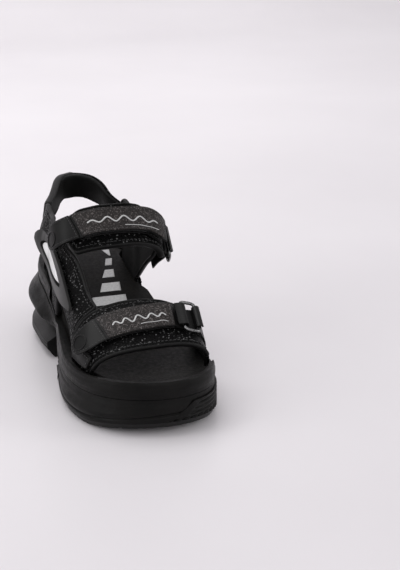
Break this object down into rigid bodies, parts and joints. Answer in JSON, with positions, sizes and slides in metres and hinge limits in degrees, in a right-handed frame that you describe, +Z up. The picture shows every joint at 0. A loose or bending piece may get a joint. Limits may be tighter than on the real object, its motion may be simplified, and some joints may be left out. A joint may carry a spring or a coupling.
{
  "type": "strappy sport sandal",
  "caption": "Open-toe platform sport sandal for the right foot, with hook-and-loop ankle and forefoot straps run through metal rings.",
  "frame": {"origin": "on the ground, under the middle of the sandal's bounding box", "axes": "toe towards -Y, heel towards +Y, outer side of the foot towards -X, +Z up"},
  "size_m": [0.1056, 0.2716, 0.1282],
  "materials": {
    "foam": "satin",
    "rubber": "matte",
    "board": "matte",
    "bed_foam": "matte",
    "bed_cover": "satin",
    "lining": "matte",
    "mesh": "matte",
    "smooth_panel": "satin",
    "ornament": "satin",
    "reflective": "satin",
    "ring": "satin",
    "hook_and_loop": "matte",
    "patch": "matte",
    "tab": "satin",
    "webbing": "matte"
  },
  "bodies": {
    "sandal": {"midsole": "foam", "heel_pod": "rubber", "outsole_forefoot": "rubber", "outsole_heel": "rubber", "toe_bumper": "rubber", "rim_band": "foam", "insole_board": "board", "footbed_foam": "bed_foam", "footbed_cover": "bed_cover", "forefoot_band_lining": "lining", "forefoot_band_shell": "mesh", "lateral_bridge_lining": "lining", "lateral_bridge_shell": "mesh", "lateral_quarter_lining": "lining", "lateral_quarter_shell": "mesh", "medial_quarter_lining": "lining", "medial_quarter_shell": "mesh", "instep_pad_lining": "lining", "instep_pad_shell": "mesh", "heel_strap_lining": "lining", "heel_strap_shell": "mesh", "corner_panel": "smooth_panel", "ornament_frame": "ornament", "ornament_insert": "reflective", "forefoot_strap_fold": "webbing", "forefoot_strap_anchor": "webbing", "forefoot_strap_base_leg": "webbing", "forefoot_strap_loop_tape": "hook_and_loop", "ankle_strap_fold": "webbing", "ankle_strap_anchor": "webbing", "ankle_strap_base_leg": "webbing", "ankle_strap_loop_tape": "hook_and_loop"},
    "forefoot_ring": {"forefoot_strap_ring": "ring"},
    "forefoot_strap_free": {"forefoot_strap_hook_tape": "hook_and_loop", "forefoot_strap_free_leg": "webbing", "forefoot_strap_patch": "patch"},
    "forefoot_tab": {"forefoot_strap_tab": "tab"},
    "ankle_ring": {"ankle_strap_ring": "ring"},
    "ankle_strap_free": {"ankle_strap_hook_tape": "hook_and_loop", "ankle_strap_free_leg": "webbing", "ankle_strap_patch": "patch"},
    "ankle_tab": {"ankle_strap_tab": "tab"}
  },
  "joints": [
    {"name": "forefoot_ring_tilt", "type": "hinge", "parent": "sandal", "child": "forefoot_ring", "pos_m": [0.04136, -0.08036, 0.0615], "axis": [0.0873, 0.8614, 0.5003], "range_deg": [-4, 2.5]},
    {"name": "forefoot_strap_peel", "type": "hinge", "parent": "sandal", "child": "forefoot_strap_free", "pos_m": [0.02192, -0.08254, 0.06752], "axis": [0.0393, 0.8264, 0.5617], "range_deg": [0, 140]},
    {"name": "forefoot_tab_lift", "type": "hinge", "parent": "forefoot_strap_free", "child": "forefoot_tab", "pos_m": [-0.02965, -0.0844, 0.06362], "axis": [-0.2192, 0.8413, 0.4941], "range_deg": [0, 35]},
    {"name": "ankle_ring_tilt", "type": "hinge", "parent": "sandal", "child": "ankle_ring", "pos_m": [0.04574, 0.00791, 0.08818], "axis": [0.0025, 0.6686, 0.7436], "range_deg": [-4, 2.5]},
    {"name": "ankle_strap_peel", "type": "hinge", "parent": "sandal", "child": "ankle_strap_free", "pos_m": [0.04222, -0.0075, 0.10429], "axis": [0.0843, 0.8463, 0.5261], "range_deg": [0, 120]},
    {"name": "ankle_tab_lift", "type": "hinge", "parent": "ankle_strap_free", "child": "ankle_tab", "pos_m": [-0.02853, -0.01364, 0.11687], "axis": [-0.1379, 0.6772, 0.7227], "range_deg": [0, 35]}
  ]
}
